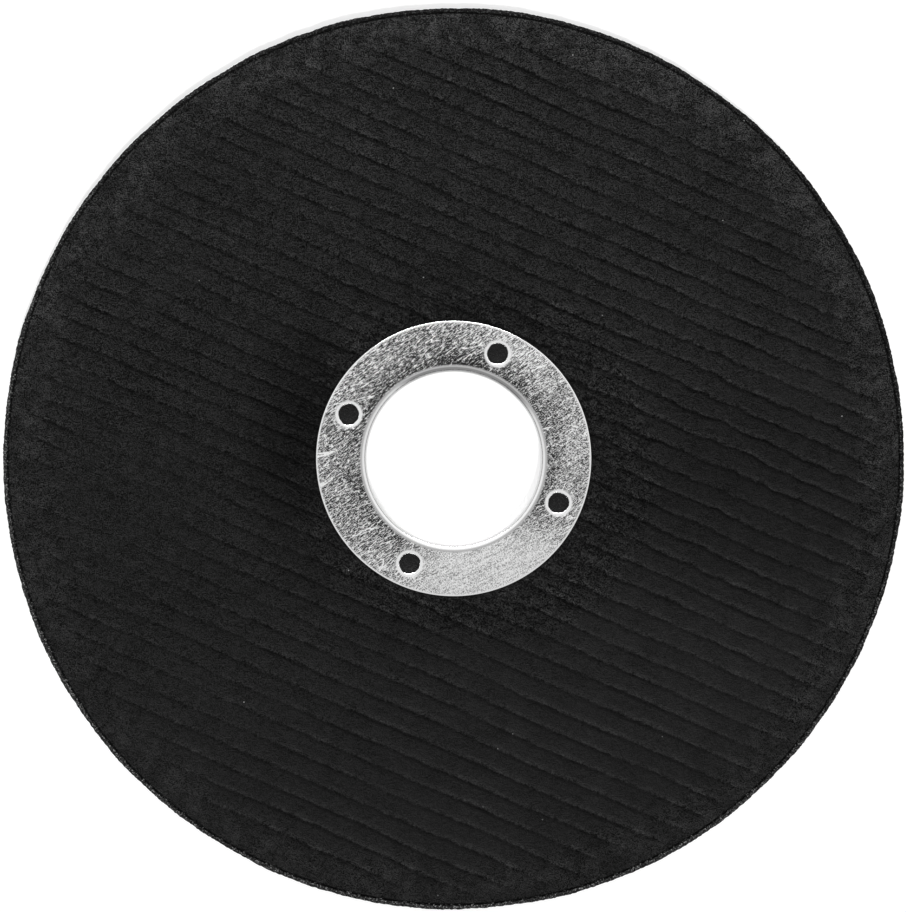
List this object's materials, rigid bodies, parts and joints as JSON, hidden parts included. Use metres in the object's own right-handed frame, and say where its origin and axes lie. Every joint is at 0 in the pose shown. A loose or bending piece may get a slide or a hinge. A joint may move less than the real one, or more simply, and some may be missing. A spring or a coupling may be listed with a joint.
{
  "type": "cut-off wheel",
  "caption": "Thin flat bonded abrasive disc for cutting metal, with a black creased fibre facing and a pressed steel ring lining its spindle bore.",
  "frame": {"origin": "on the bore's axis, at the plane of the bare underside that the wheel lies on", "axes": "+Z along the bore's axis, out of the faced side with the ring's flange; +X and +Y are the picture's right and up"},
  "size_m": [0.115, 0.115, 0.0032],
  "materials": {
    "grit": "matte",
    "facing": "matte",
    "plated_steel": "satin"
  },
  "bodies": {
    "root": {"abrasive_body": "grit", "facing_sheet": "facing", "centre_ring": "plated_steel"}
  },
  "joints": []
}
